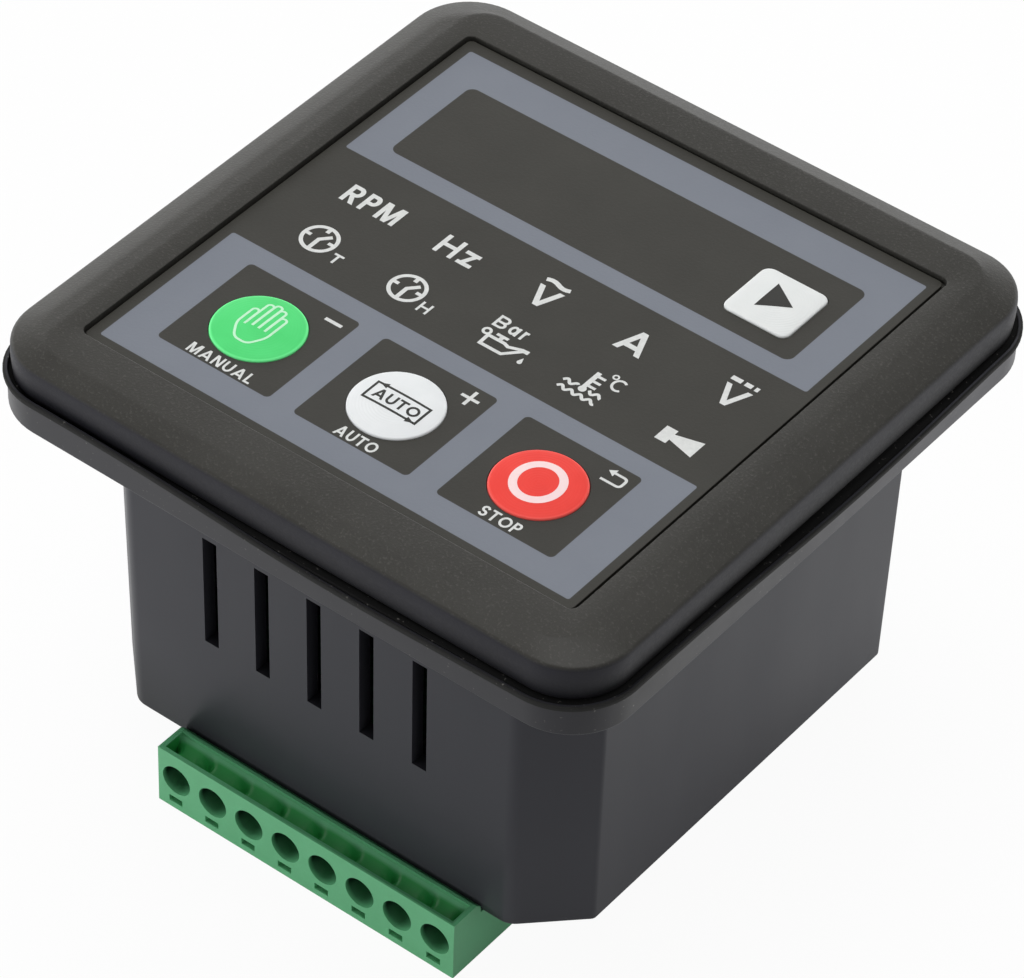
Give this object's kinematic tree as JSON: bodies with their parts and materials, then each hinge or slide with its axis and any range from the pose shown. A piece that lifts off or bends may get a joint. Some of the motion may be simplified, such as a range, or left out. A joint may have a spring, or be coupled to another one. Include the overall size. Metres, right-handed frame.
{
  "type": "generator set controller",
  "caption": "Square panel-mount controller with keyed printed face, sealing gasket, vented rear case and pluggable screw terminals for starting and watching a generator set.",
  "frame": {"origin": "under the middle of the part, on the surface that its terminal plugs rest on", "axes": "+X to the right of the face, +Y to its top edge, +Z out of the face"},
  "size_m": [0.0802, 0.0802, 0.0567],
  "materials": {
    "bezel_plastic": "fine-grained black moulding",
    "overlay_film": "printed matt film, black with blue-grey fields",
    "green_key": "satin green key cap",
    "white_key": "satin white key cap",
    "red_key": "satin red key cap",
    "gasket_rubber": "smooth black rubber",
    "case_plastic": "smooth black moulding with a soft sheen",
    "terminal_green": "green terminal plastic",
    "black_part": "black component body",
    "relay_case": "blue relay cover",
    "led_lens": "milky light body",
    "circuit_board": "green solder mask",
    "tinned_brass": "tin-plated brass",
    "plated_steel": "zinc-plated steel"
  },
  "bodies": {
    "housing": {"front_bezel": "bezel_plastic", "panel_overlay": "overlay_film", "key_switches": "black_part", "panel_gasket": "gasket_rubber", "rear_case": "case_plastic", "display_board": "circuit_board", "digit_display": "black_part", "indicator_leds": "led_lens", "controller_chip": "black_part", "display_board_screws": "plated_steel", "main_board": "circuit_board", "output_relays": "relay_case", "filter_capacitors": "black_part", "power_choke": "black_part", "main_board_screws": "plated_steel", "riser_board": "circuit_board", "riser_sockets": "black_part", "flange_screws": "plated_steel", "lower_header": "terminal_green", "upper_header": "terminal_green", "header_pins": "tinned_brass", "lower_plug": "terminal_green", "upper_plug": "terminal_green", "clamp_cages": "tinned_brass", "clamp_screws": "plated_steel"},
    "manual_button": {"manual_key": "green_key", "manual_plunger": "black_part"},
    "auto_button": {"auto_key": "white_key", "auto_plunger": "black_part"},
    "stop_button": {"stop_key": "red_key", "stop_plunger": "black_part"},
    "scroll_button": {"scroll_key": "white_key", "scroll_plunger": "black_part"}
  },
  "joints": [
    {"name": "manual_press", "type": "slide", "parent": "housing", "child": "manual_button", "axis": [0, 0, -1], "range_m": [0, 0.0004], "stiffness_N_per_m": 4000},
    {"name": "auto_press", "type": "slide", "parent": "housing", "child": "auto_button", "axis": [0, 0, -1], "range_m": [0, 0.0004], "stiffness_N_per_m": 4000},
    {"name": "stop_press", "type": "slide", "parent": "housing", "child": "stop_button", "axis": [0, 0, -1], "range_m": [0, 0.0004], "stiffness_N_per_m": 4000},
    {"name": "scroll_press", "type": "slide", "parent": "housing", "child": "scroll_button", "axis": [0, 0, -1], "range_m": [0, 0.0004], "stiffness_N_per_m": 4000}
  ]
}
